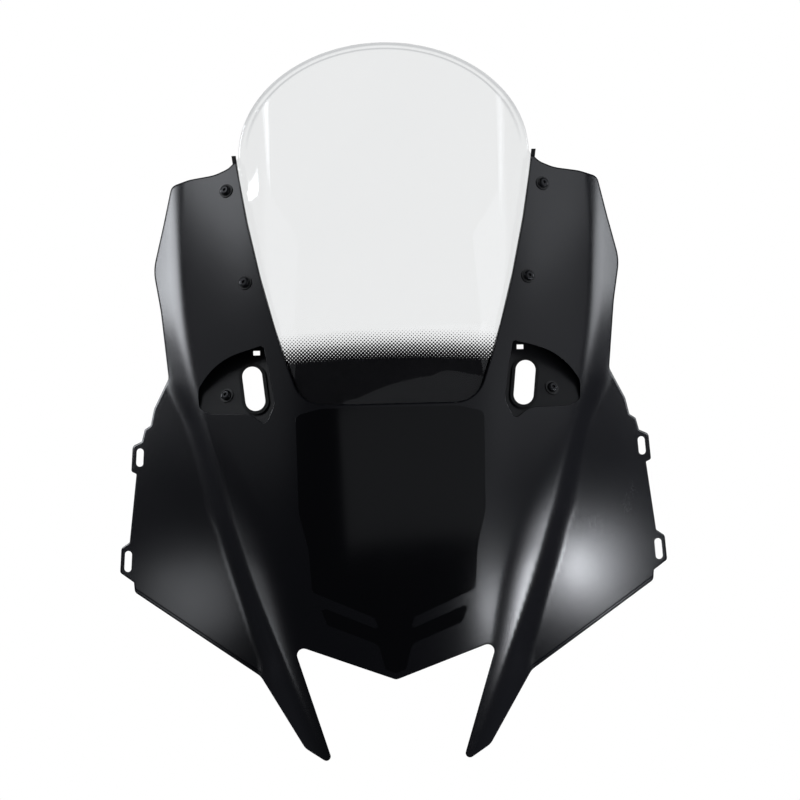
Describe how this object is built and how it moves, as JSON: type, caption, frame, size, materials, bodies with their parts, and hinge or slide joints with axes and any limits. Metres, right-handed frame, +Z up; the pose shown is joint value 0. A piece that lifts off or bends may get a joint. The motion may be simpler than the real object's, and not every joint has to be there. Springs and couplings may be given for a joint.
{
  "type": "motorcycle windshield with front cowl",
  "caption": "Raked front upper cowl with horns, wings and lower legs, holding a clear domed windshield on rubber well nuts, with sunk mirror seats and slotted side tabs.",
  "frame": {"origin": "middle of the locating pin behind the nose, on the centre plane", "axes": "+X across the bike (the viewer's right from in front), -Y to the front, +Z up; the cowl's face leans back 60 degrees from the ground"},
  "size_m": [0.4938, 0.4129, 0.5166],
  "materials": {
    "cowl_paint": "satin",
    "screen_clear": "gloss",
    "film_gloss": "gloss",
    "seat_plastic": "satin",
    "rubber": "matte",
    "screw_black": "satin",
    "nylon": "matte",
    "brass": "satin",
    "zinc_steel": "satin"
  },
  "bodies": {
    "root": {"nose_cowl": "cowl_paint", "windshield": "screen_clear", "nose_film": "film_gloss", "lower_seal": "rubber", "side_seal_right": "rubber", "mirror_seat_right": "seat_plastic", "mirror_gasket_right": "rubber", "screen_screw_upper_right": "screw_black", "screen_washer_upper_right": "nylon", "well_nut_upper_right": "rubber", "nut_insert_upper_right": "brass", "screen_screw_lower_right": "screw_black", "screen_washer_lower_right": "nylon", "well_nut_lower_right": "rubber", "nut_insert_lower_right": "brass", "seat_screw_right": "screw_black", "seat_washer_right": "nylon", "seat_nut_right": "zinc_steel", "side_seal_left": "rubber", "mirror_seat_left": "seat_plastic", "mirror_gasket_left": "rubber", "screen_screw_upper_left": "screw_black", "screen_washer_upper_left": "nylon", "well_nut_upper_left": "rubber", "nut_insert_upper_left": "brass", "screen_screw_lower_left": "screw_black", "screen_washer_lower_left": "nylon", "well_nut_lower_left": "rubber", "nut_insert_lower_left": "brass", "seat_screw_left": "screw_black", "seat_washer_left": "nylon", "seat_nut_left": "zinc_steel"}
  },
  "joints": []
}
